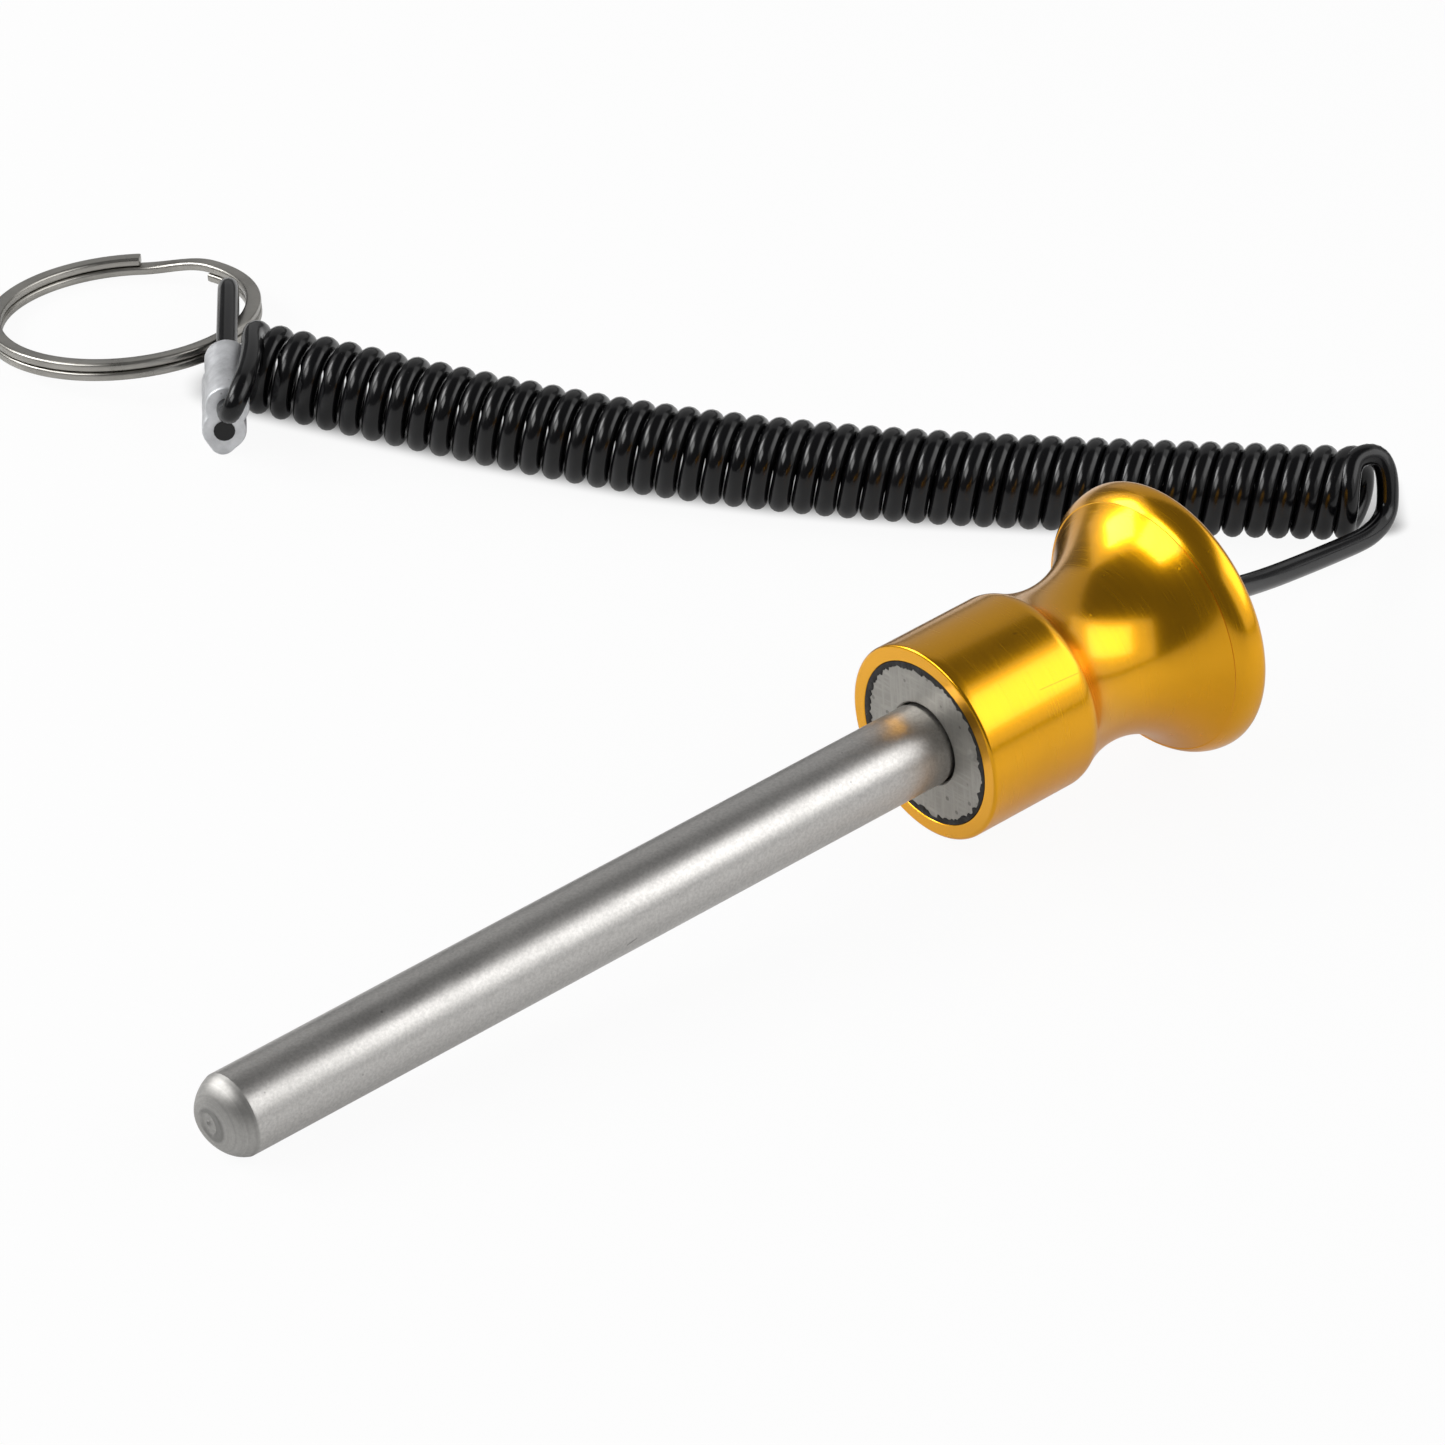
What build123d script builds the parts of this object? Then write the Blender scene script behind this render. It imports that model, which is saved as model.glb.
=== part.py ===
from build123d import *
import math
import os

os.makedirs("parts", exist_ok=True)

# Sizes are in millimetres. The pin lies on the floor with its tip towards -X,
# and the origin is the middle of the footprint of its turned pieces.
# Along the turned pieces, lengths run from the flat face of the tip.

# Shank: a turned wall that shows, and a thinner spigot that is pressed into the handle
SHANK_R = 5.0
TIP_FLAT_R = 2.4
NOSE_LENGTH = 2.7
NOSE_MID = (1.35, 4.3)
WALL_LENGTH = 100.5
SPIGOT_R = 4.8
SPIGOT_DEPTH = 19.9
SPIGOT_CHAMFER = 0.5

# Handle, whose lengths follow each other from its front face
HANDLE_GAP = 0.3
BODY_R = 12.22
FRONT_EDGE_ROUND = 0.4
SHOULDER_ROUND = 1.2
FRONT_TO_NECK = 23.1
NECK_R = 10.15
NECK_CURVE_R = 14.6
NECK_TO_RIM = 11.4
RIM_LENGTH = 4.3
RIM_STEP = 0.12
RIM_R = 17.0
RIM_BEAD_R = 1.3

# Magnet and the glue round it
MAGNET_R = 9.6
MAGNET_LENGTH = 5.0
MAGNET_CLEARANCE = 0.3
MAGNET_CHAMFER = 0.2
GLUE_WIDTH = 0.65
GLUE_RECESS = 0.15

# Cord
CORD_R = 1.25
CORD_HOLE_DEPTH = 12.0
CORNER_SHARE = 0.45
COIL_R = 6.0

# Crimp sleeve
SLEEVE_FRONT = (29.64, 129.83)
SLEEVE_HEADING = 52.91
SLEEVE_ROLL = 8.0
SLEEVE_LENGTH = 13.7
LOBE_R = 2.83
LOBE_SPACING = 3.3
KEEL_R = 1.6
KEEL_DROP = 1.9

# Split ring
RING_CENTRE = (40.2, 165.0)
RING_HEADING = 11.4
RING_TILT = 4.9
RING_R = 18.0
RING_WIDTH = 2.0
RING_LAYER = 1.2
RING_SLIT = 0.1
CROSSING_FROM = -1.0
CROSSING_TO = 34.5

wall_end = NOSE_LENGTH + WALL_LENGTH
handle_front = wall_end + HANDLE_GAP
spigot_end = handle_front + SPIGOT_DEPTH
neck_mid = handle_front + FRONT_TO_NECK
neck_end = neck_mid + NECK_TO_RIM
handle_end = neck_end + RIM_LENGTH

# The pin rests on the corner behind its nose and on the bead of its rim,
# which gives its tilt and the height of its tip.
bead_at = handle_end - RIM_BEAD_R
bead_r = RIM_R - RIM_BEAD_R
rest_reach = bead_at - NOSE_LENGTH
rest_drop = bead_r - SHANK_R
tilt = math.atan2(rest_drop, rest_reach) + math.asin(RIM_BEAD_R / math.hypot(rest_reach, rest_drop))
along = (math.cos(tilt), 0, math.sin(tilt))
left_reach = TIP_FLAT_R * math.sin(tilt)
right_reach = bead_at * math.cos(tilt) + bead_r * math.sin(tilt) + RIM_BEAD_R
tip = (
    (left_reach - right_reach) / 2,
    0,
    SHANK_R * math.cos(tilt) - NOSE_LENGTH * math.sin(tilt),
)
pin_plane = Plane(origin=tip, x_dir=along, z_dir=(0, -1, 0))
pin_axis = Axis(tip, along)


def on_axis(distance):
    """Point on the pin's axis at a distance from the tip."""
    return Vector(*tip) + Vector(*along) * distance


with BuildPart() as shank:
    with BuildSketch(pin_plane):
        with BuildLine():
            ThreePointArc((0, TIP_FLAT_R), NOSE_MID, (NOSE_LENGTH, SHANK_R))
            Polyline(
                (NOSE_LENGTH, SHANK_R),
                (wall_end, SHANK_R),
                (wall_end, SPIGOT_R),
                (spigot_end - SPIGOT_CHAMFER, SPIGOT_R),
                (spigot_end, SPIGOT_R - SPIGOT_CHAMFER),
                (spigot_end, 0),
                (0, 0),
                (0, TIP_FLAT_R),
            )
        make_face()
    revolve(axis=pin_axis)
shank.part.label = "shank"
export_step(shank.part, "parts/shank.step")

# The neck is one concave arc from the body to the step below the rim.
neck_curve_centre_r = NECK_R + NECK_CURVE_R
shoulder_at = neck_mid - math.sqrt(NECK_CURVE_R**2 - (neck_curve_centre_r - BODY_R) ** 2)
neck_end_r = neck_curve_centre_r - math.sqrt(NECK_CURVE_R**2 - (neck_end - neck_mid) ** 2)
bead_mid = RIM_BEAD_R * math.sin(math.pi / 4)
seat_r = MAGNET_R + GLUE_WIDTH
seat_end = handle_front + MAGNET_LENGTH

with BuildPart() as handle:
    with BuildSketch(pin_plane):
        with BuildLine():
            Polyline((handle_front, seat_r), (handle_front, BODY_R), (shoulder_at, BODY_R))
            ThreePointArc((shoulder_at, BODY_R), (neck_mid, NECK_R), (neck_end, neck_end_r))
            Line((neck_end, neck_end_r), (neck_end, neck_end_r + RIM_STEP))
            TangentArc((bead_at, RIM_R), (neck_end, neck_end_r + RIM_STEP), tangent=(-1, 0))
            ThreePointArc(
                (bead_at, RIM_R),
                (bead_at + bead_mid, bead_r + bead_mid),
                (handle_end, bead_r),
            )
            Polyline(
                (handle_end, bead_r),
                (handle_end, 0),
                (spigot_end, 0),
                (spigot_end, SPIGOT_R),
                (seat_end, SPIGOT_R),
                (seat_end, seat_r),
                (handle_front, seat_r),
            )
        make_face()
        fillet(vertices().sort_by_distance((handle_front, BODY_R))[0], radius=FRONT_EDGE_ROUND)
        fillet(vertices().sort_by_distance((shoulder_at, BODY_R))[0], radius=SHOULDER_ROUND)
    revolve(axis=pin_axis)
    with BuildSketch(Plane(origin=on_axis(handle_end), z_dir=along)):
        Circle(CORD_R)
    extrude(amount=-CORD_HOLE_DEPTH, mode=Mode.SUBTRACT)
handle.part.label = "handle"
export_step(handle.part, "parts/handle.step")

with BuildPart() as ring_magnet:
    with BuildSketch(Plane(origin=on_axis(handle_front), z_dir=along)):
        Circle(MAGNET_R)
        Circle(SPIGOT_R + MAGNET_CLEARANCE, mode=Mode.SUBTRACT)
    extrude(amount=MAGNET_LENGTH)
    front_edges = ring_magnet.edges().filter_by(GeomType.CIRCLE).sort_by(pin_axis)[:2]
    chamfer(front_edges, length=MAGNET_CHAMFER)
ring_magnet.part.label = "ring_magnet"
export_step(ring_magnet.part, "parts/ring_magnet.step")

with BuildPart() as adhesive_ring:
    with BuildSketch(Plane(origin=on_axis(handle_front + GLUE_RECESS), z_dir=along)):
        Circle(seat_r)
        Circle(MAGNET_R, mode=Mode.SUBTRACT)
    extrude(amount=MAGNET_LENGTH - GLUE_RECESS)
adhesive_ring.part.label = "adhesive_ring"
export_step(adhesive_ring.part, "parts/adhesive_ring.step")


def corner_radii(points):
    """Bend radii that use most of the shorter run at each corner of a route."""
    radii = []
    for before, at, after in zip(points, points[1:], points[2:]):
        arriving = Vector(*at) - Vector(*before)
        leaving = Vector(*after) - Vector(*at)
        half_turn = math.radians(arriving.get_angle(leaving)) / 2
        shorter = min(arriving.length, leaving.length)
        radii.append(CORNER_SHARE * shorter / math.tan(half_turn))
    return radii


# The sleeve lies on the floor, turned to its heading and rolled towards the coil.
heading = math.radians(SLEEVE_HEADING)
roll = math.radians(SLEEVE_ROLL)
sleeve_ahead = Vector(math.cos(heading), math.sin(heading), 0)
sleeve_right = Vector(math.sin(heading), -math.cos(heading), 0)
sleeve_across = sleeve_right * math.cos(roll) - Vector(0, 0, 1) * math.sin(roll)
lower_bore_z = KEEL_DROP * math.cos(roll) + KEEL_R
upper_bore_z = lower_bore_z + LOBE_SPACING * math.cos(roll)
upper_bore_right = LOBE_SPACING * math.sin(roll)


def beside_sleeve(ahead, right, height):
    """Point given from the sleeve's front face along its heading, to its right, and above the floor."""
    base = Vector(SLEEVE_FRONT[0], SLEEVE_FRONT[1], height)
    return base + sleeve_ahead * ahead + sleeve_right * right


lower_bore = beside_sleeve(0, 0, lower_bore_z)

with BuildPart() as crimp_sleeve:
    with BuildSketch(Plane(origin=lower_bore, x_dir=sleeve_across, z_dir=-sleeve_ahead)):
        with BuildLine():
            CenterArc((0, 0), LOBE_R, 0, 360)
            CenterArc((0, -KEEL_DROP), KEEL_R, 0, 360)
        make_hull()
        with Locations((0, LOBE_SPACING)):
            Circle(LOBE_R)
        with Locations((0, 0), (0, LOBE_SPACING)):
            Circle(CORD_R, mode=Mode.SUBTRACT)
    extrude(amount=-SLEEVE_LENGTH)
crimp_sleeve.part.label = "crimp_sleeve"
export_step(crimp_sleeve.part, "parts/crimp_sleeve.step")

# Route of the coil's middle line, from its far end to the end near the handle.
coil_points = [
    (40.95, 133.95, COIL_R),
    (55.1, 101.3, COIL_R),
    (74.2, 71.3, COIL_R),
    (98.3, 44.4, COIL_R),
    (123.6, 19.6, COIL_R),
]

with BuildPart() as cord_coil:
    with BuildLine() as coil_line:
        FilletPolyline(*coil_points, radius=corner_radii(coil_points))
    with BuildSketch(Plane(origin=coil_line.line @ 0, z_dir=coil_line.line % 0)):
        Circle(COIL_R)
    sweep()
cord_coil.part.label = "cord_coil"
export_step(cord_coil.part, "parts/cord_coil.step")

# Route of the tail, from the bottom of its hole in the handle into the end of the coil.
tail_points = [
    on_axis(handle_end - CORD_HOLE_DEPTH),
    on_axis(handle_end + 4.5),
    (90.0, 6.1, 11.1),
    (107.0, 11.4, 6.6),
    (125.0, 17.2, 2.4),
    (127.8, 20.5, 9.0),
    (125.4, 22.2, 11.6),
    (118.6, 25.0, 9.4),
]

with BuildPart() as cord_tail:
    with BuildLine() as tail_line:
        FilletPolyline(*tail_points, radius=corner_radii(tail_points))
    with BuildSketch(Plane(origin=tail_line.line @ 0, z_dir=tail_line.line % 0)):
        Circle(CORD_R)
    sweep()
cord_tail.part.label = "cord_tail"
export_step(cord_tail.part, "parts/cord_tail.step")

# Route of the loop: out of the coil, over the sleeve's shoulder and down in front of it,
# through its upper bore, round the loop, and back into its lower bore.
loop_points = [
    (41.76, 132.12, 9.3),
    beside_sleeve(0.5, 2.8, 11.6),
    beside_sleeve(-2.6, 2.0, 11.7),
    beside_sleeve(-2.6, upper_bore_right, upper_bore_z),
    beside_sleeve(8.0, upper_bore_right, upper_bore_z),
    beside_sleeve(17.0, 0.5, 7.1),
    beside_sleeve(26.5, 0.7, 7.35),
    beside_sleeve(36.0, 0.85, 7.0),
    beside_sleeve(36.0, 0.8, 1.27),
    beside_sleeve(28.0, 0.5, 1.27),
    beside_sleeve(20.6, 0.2, 1.27),
    beside_sleeve(15.2, 0, lower_bore_z),
    lower_bore,
]

with BuildPart() as cord_loop:
    with BuildLine() as loop_line:
        FilletPolyline(*loop_points, radius=corner_radii(loop_points))
    with BuildSketch(Plane(origin=loop_line.line @ 0, z_dir=loop_line.line % 0)):
        Circle(CORD_R)
    sweep()
cord_loop.part.label = "cord_loop"
export_step(cord_loop.part, "parts/cord_loop.step")

# The ring leans on the loop's lower leg: its side towards the sleeve is raised.
ring_turn = math.radians(RING_HEADING)
ring_lean = math.radians(RING_TILT)
ring_height = 2 * RING_LAYER + RING_SLIT
raised = Vector(math.sin(ring_turn), -math.cos(ring_turn), 0)
ring_plane = Plane(
    origin=(RING_CENTRE[0], RING_CENTRE[1], RING_R * math.sin(ring_lean)),
    x_dir=(math.cos(ring_turn), math.sin(ring_turn), 0),
    z_dir=Vector(0, 0, 1) * math.cos(ring_lean) - raised * math.sin(ring_lean),
)
crossing_mid = math.radians((CROSSING_FROM + CROSSING_TO) / 2)
crossing_half = RING_R * math.radians(CROSSING_TO - CROSSING_FROM) / 2
crossing_out = ring_plane.x_dir * math.cos(crossing_mid) + ring_plane.y_dir * math.sin(crossing_mid)
crossing_side = ring_plane.y_dir * math.cos(crossing_mid) - ring_plane.x_dir * math.sin(crossing_mid)
crossing_plane = Plane(origin=ring_plane.origin, x_dir=crossing_side, z_dir=crossing_out)

# In the crossing the strip slopes from the upper turn down to the lower one.
with BuildPart() as crossing:
    with BuildSketch(crossing_plane):
        with BuildLine():
            FilletPolyline(
                (-crossing_half - 0.6, ring_height),
                (-0.6 * crossing_half, ring_height),
                (0.6 * crossing_half, RING_LAYER),
                (crossing_half + 0.6, RING_LAYER),
                radius=4,
            )
            Line((crossing_half + 0.6, RING_LAYER), (crossing_half + 0.6, 0))
            FilletPolyline(
                (crossing_half + 0.6, 0),
                (0.6 * crossing_half, 0),
                (-0.6 * crossing_half, ring_height - RING_LAYER),
                (-crossing_half - 0.6, ring_height - RING_LAYER),
                radius=4,
            )
            Line((-crossing_half - 0.6, ring_height - RING_LAYER), (-crossing_half - 0.6, ring_height))
        make_face()
    extrude(amount=RING_R + 1)
    with BuildSketch(ring_plane):
        Circle(RING_R)
        Circle(RING_R - RING_WIDTH, mode=Mode.SUBTRACT)
    extrude(amount=ring_height, mode=Mode.INTERSECT)

with BuildPart() as split_ring:
    with BuildSketch(ring_plane):
        Circle(RING_R)
        Circle(RING_R - RING_WIDTH, mode=Mode.SUBTRACT)
    extrude(amount=ring_height)
    with BuildSketch(ring_plane.offset(RING_LAYER)):
        Circle(RING_R + 1)
    extrude(amount=RING_SLIT, mode=Mode.SUBTRACT)
    with BuildSketch(ring_plane):
        with BuildLine():
            first_side = PolarLine((0, 0), 2 * RING_R, CROSSING_FROM)
            last_side = PolarLine((0, 0), 2 * RING_R, CROSSING_TO)
            Line(first_side @ 1, last_side @ 1)
        make_face()
    extrude(amount=ring_height, mode=Mode.SUBTRACT)
    add(crossing.part)
split_ring.part.label = "split_ring"
export_step(split_ring.part, "parts/split_ring.step")

for name, points, line, radius, tube in (
    ("coil", coil_points, coil_line, COIL_R, cord_coil),
    ("tail", tail_points, tail_line, CORD_R, cord_tail),
    ("loop", loop_points, loop_line, CORD_R, cord_loop),
):
    print(name, "corner radii", [round(r, 1) for r in corner_radii(points)])
    length = sum(edge.length for edge in line.edges())
    print(name, "length", round(length, 2), "volume share", round(tube.part.volume / (math.pi * radius**2 * length), 4))
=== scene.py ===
import math

import bmesh
import bpy
import numpy as np
from mathutils import Matrix, Vector


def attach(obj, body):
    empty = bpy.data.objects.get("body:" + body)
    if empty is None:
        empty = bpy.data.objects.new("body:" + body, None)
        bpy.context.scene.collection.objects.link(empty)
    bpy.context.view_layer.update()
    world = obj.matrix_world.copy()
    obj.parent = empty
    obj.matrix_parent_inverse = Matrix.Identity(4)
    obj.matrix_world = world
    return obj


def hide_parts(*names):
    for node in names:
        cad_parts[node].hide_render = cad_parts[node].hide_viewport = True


bl_info = {
    "name": "Weight Stack Pin",
    "version": (1, 0, 0),
    "blender": (4, 5, 0),
    "location": "View3D > Sidebar > Stack Pin",
    "description": "Dresses a turned weight stack pin with its coiled cord and split ring",
    "category": "Object",
}

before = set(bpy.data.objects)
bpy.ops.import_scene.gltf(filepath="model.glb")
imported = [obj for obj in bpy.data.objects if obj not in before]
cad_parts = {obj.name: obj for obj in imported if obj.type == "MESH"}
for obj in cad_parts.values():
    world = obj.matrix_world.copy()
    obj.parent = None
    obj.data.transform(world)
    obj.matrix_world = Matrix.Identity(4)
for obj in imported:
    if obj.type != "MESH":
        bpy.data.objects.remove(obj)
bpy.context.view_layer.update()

MM = 0.001
ROOT_BODY = "pin_and_cord"
RING_BODY = "ring"

# The pin's own axis, in millimetres: its tip, the way to the handle, and the two ways across.
TILT = math.radians(4.961)
ALONG = np.array([math.cos(TILT), 0.0, math.sin(TILT)])
OVER = np.array([-math.sin(TILT), 0.0, math.cos(TILT)])
ASIDE = np.array([0.0, 1.0, 0.0])
TIP = np.array([-71.461, 0.0, 4.748])
WALL_END = 103.2
HANDLE_FRONT = 103.5
SEAT_END = 108.5
SPIGOT_END = 123.4
HANDLE_END = 142.3
SPIGOT_R = 4.8

NOSE_LENGTH = 2.7
SHANK_R = 5.0
MAGNET_R = 10.12
MAGNET_BORE_R = 5.1
SEAT_R = 10.24
CORD_HOLE_DEPTH = 12.0
CORD_HOLE_R = 1.42

# The crimp sleeve: two lobes that carry the bores, and a keel under the lower one.
SLEEVE_HEADING = math.radians(52.91)
SLEEVE_ROLL = math.radians(8.0)
SLEEVE_LENGTH = 13.7
LOBE_R = 2.83
LOBE_SPACING = 3.3
KEEL_R = 1.6
KEEL_DROP = 1.9
SLEEVE_FRONT = np.array([29.64, 129.83])
SLEEVE_AHEAD = np.array([math.cos(SLEEVE_HEADING), math.sin(SLEEVE_HEADING)])
SLEEVE_RIGHT = np.array([math.sin(SLEEVE_HEADING), -math.cos(SLEEVE_HEADING)])
LOWER_BORE_Z = 3.4815
UPPER_BORE_Z = 6.7494
UPPER_BORE_RIGHT = 0.4593

COIL_HEADING = math.radians(-52.0)

# The split ring: two turns of a flat wire, with a crossing between these angles.
RING_R = 18.0
RING_WIRE = (2.0, 1.2)
RING_RISE = 1.3
CROSSING = (-1.0, 34.5)
RING_HEADING = math.radians(11.4)
RING_LEAN = math.radians(4.9)
RING_CENTRE = np.array([40.2, 165.0])


def beside_sleeve(ahead, right, height):
    """Point given from the sleeve's front face along its heading, to its right, and above the floor."""
    x, y = SLEEVE_FRONT + SLEEVE_AHEAD * ahead + SLEEVE_RIGHT * right
    return (x, y, height)


def on_axis(distance):
    """Point on the pin's axis at a distance from the tip."""
    return tuple(TIP + ALONG * distance)


# Route of the cord from the bottom of its hole in the handle to the first turn of the coil.
TAIL_ROUTE = [
    on_axis(HANDLE_END - CORD_HOLE_DEPTH),
    on_axis(HANDLE_END + 4.5),
    (90.0, 6.1, 11.1),
    (107.0, 11.4, 6.6),
    (123.9, 16.8, 2.45),
    (125.8, 18.6, 8.7),
    (125.2, 20.3, 11.4),
    (121.9, 21.1, 11.3),
    (119.6, 19.4, 9.3),
]
# Route of the coil's middle line, from its far end to the end near the handle.
COIL_ROUTE = [
    (40.2, 138.4, 6.02),
    (55.1, 101.6, 6.02),
    (74.4, 71.5, 6.02),
    (98.5, 44.8, 6.02),
    (125.6, 18.7, 6.02),
]
# Route from the coil past the sleeve's shoulder, back through its upper bore,
# round the loop and into its lower bore.
LOOP_ROUTE = [
    beside_sleeve(7.5, 3.8, 11.0),
    beside_sleeve(2.5, 3.25, 10.9),
    beside_sleeve(-1.0, 2.45, 10.5),
    beside_sleeve(-3.2, 1.5, 8.9),
    beside_sleeve(-2.5, 0.5, UPPER_BORE_Z),
    beside_sleeve(1.5, UPPER_BORE_RIGHT, UPPER_BORE_Z),
    beside_sleeve(10.0, UPPER_BORE_RIGHT, UPPER_BORE_Z),
    beside_sleeve(17.0, 0.5, 7.1),
    beside_sleeve(26.5, 0.7, 7.35),
    beside_sleeve(36.0, 0.85, 7.0),
    beside_sleeve(36.0, 0.8, 1.4),
    beside_sleeve(28.0, 0.5, 1.4),
    beside_sleeve(20.6, 0.2, 1.4),
    beside_sleeve(15.2, 0.0, LOWER_BORE_Z),
    beside_sleeve(-0.12, 0.0, LOWER_BORE_Z),
]


# Meshes


def add_piece(name, body, replaced, data):
    """A new object at the origin that rides on a body and stands for the solids it replaces."""
    piece = bpy.data.objects.new(name, data)
    bpy.context.scene.collection.objects.link(piece)
    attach(piece, body)
    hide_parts(*replaced)
    return piece


def grid_mesh(name, points, close_rows, close_columns, sharp=35.0):
    """Mesh of a grid of points in millimetres: each cell between neighbours is one quad.

    Rows and columns are joined round where asked, points that fall together are welded,
    and edges that bend by more than the sharp angle stay crisp."""
    rows, columns = points.shape[:2]
    u = np.arange(rows if close_rows else rows - 1)[:, None]
    v = np.arange(columns if close_columns else columns - 1)[None, :]
    corners = [
        u * columns + v,
        u * columns + (v + 1) % columns,
        ((u + 1) % rows) * columns + (v + 1) % columns,
        ((u + 1) % rows) * columns + v,
    ]
    faces = np.stack([c.ravel() for c in corners], axis=1)
    mesh = bpy.data.meshes.new(name)
    mesh.vertices.add(rows * columns)
    mesh.vertices.foreach_set("co", (points.reshape(-1, 3) * MM).astype(np.float32).ravel())
    mesh.loops.add(faces.size)
    mesh.loops.foreach_set("vertex_index", faces.ravel().astype(np.int32))
    mesh.polygons.add(len(faces))
    mesh.polygons.foreach_set("loop_start", np.arange(0, faces.size, 4, dtype=np.int32))
    mesh.update(calc_edges=True)
    work = bmesh.new()
    work.from_mesh(mesh)
    bmesh.ops.remove_doubles(work, verts=work.verts, dist=1e-7)
    bmesh.ops.recalc_face_normals(work, faces=work.faces)
    work.to_mesh(mesh)
    work.free()
    mesh.polygons.foreach_set("use_smooth", np.ones(len(mesh.polygons), dtype=bool))
    mesh.set_sharp_from_angle(angle=math.radians(sharp))
    return mesh


def arc(centre, radius, start, end, steps):
    """Points of a plane profile on a circle, from one angle in degrees to another."""
    angle = np.radians(np.linspace(start, end, steps))
    return np.stack([centre[0] + radius * np.cos(angle), centre[1] + radius * np.sin(angle)], axis=1)


def straight(start, end, steps):
    """Points of a plane profile on a line, both ends among them."""
    share = np.linspace(0.0, 1.0, steps)[:, None]
    return np.array(start) * (1 - share) + np.array(end) * share


def turned_points(profile, segments):
    """A profile of (distance from the tip, radius) turned about the pin's axis.

    A point is tip + distance * along + radius * (cos a * over + sin a * aside), with a in equal steps."""
    angle = np.linspace(0, 2 * math.pi, segments, endpoint=False)
    spoke = np.cos(angle)[:, None] * OVER + np.sin(angle)[:, None] * ASIDE
    return TIP + profile[:, 0, None, None] * ALONG + profile[:, 1, None, None] * spoke[None]


# Materials


def new_material(name):
    """A material with its node tree, its shader and its object coordinates."""
    material = bpy.data.materials.new(name)
    material.use_nodes = True
    tree = material.node_tree
    shader = tree.nodes["Principled BSDF"]
    place = tree.nodes.new("ShaderNodeTexCoord").outputs["Object"]
    return material, tree, shader, place


def feed(tree, value, socket):
    """Links a socket, or sets a plain value."""
    if isinstance(value, bpy.types.NodeSocket):
        tree.links.new(value, socket)
    else:
        socket.default_value = value


def maths(tree, operation, first, second=0.5, clamp=False):
    """A Math node fed by sockets or numbers."""
    node = tree.nodes.new("ShaderNodeMath")
    node.operation = operation
    node.use_clamp = clamp
    feed(tree, first, node.inputs[0])
    feed(tree, second, node.inputs[1])
    return node.outputs[0]


def vector_maths(tree, operation, first, second, output="Vector"):
    """A Vector Math node fed by sockets or vectors."""
    node = tree.nodes.new("ShaderNodeVectorMath")
    node.operation = operation
    feed(tree, first, node.inputs[0])
    feed(tree, second, node.inputs["Scale"] if operation == "SCALE" else node.inputs[1])
    return node.outputs[output]


def spread(tree, value, low, high, to_low, to_high, smooth=False):
    """A value of one range carried over to another."""
    node = tree.nodes.new("ShaderNodeMapRange")
    node.interpolation_type = "SMOOTHSTEP" if smooth else "LINEAR"
    feed(tree, value, node.inputs["Value"])
    for name, number in (("From Min", low), ("From Max", high), ("To Min", to_low), ("To Max", to_high)):
        node.inputs[name].default_value = number
    return node.outputs["Result"]


def blend_colours(tree, share, first, second):
    """A mix of two colours, each a socket or a colour."""
    node = tree.nodes.new("ShaderNodeMix")
    node.data_type = "RGBA"
    sockets = {socket.identifier: socket for socket in node.inputs}
    feed(tree, share, sockets["Factor_Float"])
    feed(tree, first, sockets["A_Color"])
    feed(tree, second, sockets["B_Color"])
    return next(socket for socket in node.outputs if socket.identifier == "Result_Color")


def noise(tree, place, scale, detail=3.0, roughness=0.55):
    """A noise value at a place."""
    node = tree.nodes.new("ShaderNodeTexNoise")
    feed(tree, place, node.inputs["Vector"])
    node.inputs["Scale"].default_value = scale
    node.inputs["Detail"].default_value = detail
    node.inputs["Roughness"].default_value = roughness
    return node.outputs["Fac"]


def shader_group(name, inputs, outputs):
    """An empty node group with its sockets; returns the tree and the nodes for going in and out."""
    tree = bpy.data.node_groups.new(name, "ShaderNodeTree")
    for label, kind in inputs:
        tree.interface.new_socket(name=label, in_out="INPUT", socket_type=kind)
    for label, kind in outputs:
        tree.interface.new_socket(name=label, in_out="OUTPUT", socket_type=kind)
    return tree, tree.nodes.new("NodeGroupInput"), tree.nodes.new("NodeGroupOutput")


def use_group(tree, name, **values):
    """A node of the shared group of that name, whose inputs are set by name."""
    node = tree.nodes.new("ShaderNodeGroup")
    node.node_tree = shared_groups()[name]
    for label, value in values.items():
        feed(tree, value, node.inputs[label])
    return node


def pin_space_group():
    """Object coordinates turned so that X runs along the pin, Y aside and Z over."""
    group, given, result = shader_group(
        "pin_space", [("Place", "NodeSocketVector")], [("Place", "NodeSocketVector")]
    )
    node = group.nodes.new("ShaderNodeVectorRotate")
    node.rotation_type = "Y_AXIS"
    node.inputs["Center"].default_value = tuple(TIP * MM)
    node.inputs["Angle"].default_value = TILT
    feed(group, given.outputs["Place"], node.inputs["Vector"])
    feed(group, node.outputs["Vector"], result.inputs["Place"])


def stretched_grain_group():
    """Fine lines: noise at a place whose three axes are stretched by given amounts."""
    group, given, result = shader_group(
        "stretched_grain",
        [("Place", "NodeSocketVector"), ("Fineness", "NodeSocketVector")],
        [("Lines", "NodeSocketFloat"), ("Cloud", "NodeSocketFloat")],
    )
    scaled = group.nodes.new("ShaderNodeVectorMath")
    scaled.operation = "MULTIPLY"
    feed(group, given.outputs["Place"], scaled.inputs[0])
    feed(group, given.outputs["Fineness"], scaled.inputs[1])
    feed(group, noise(group, scaled.outputs["Vector"], 1.0, 4.0, 0.6), result.inputs["Lines"])
    feed(group, noise(group, given.outputs["Place"], 90.0, 3.0, 0.6), result.inputs["Cloud"])


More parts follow.
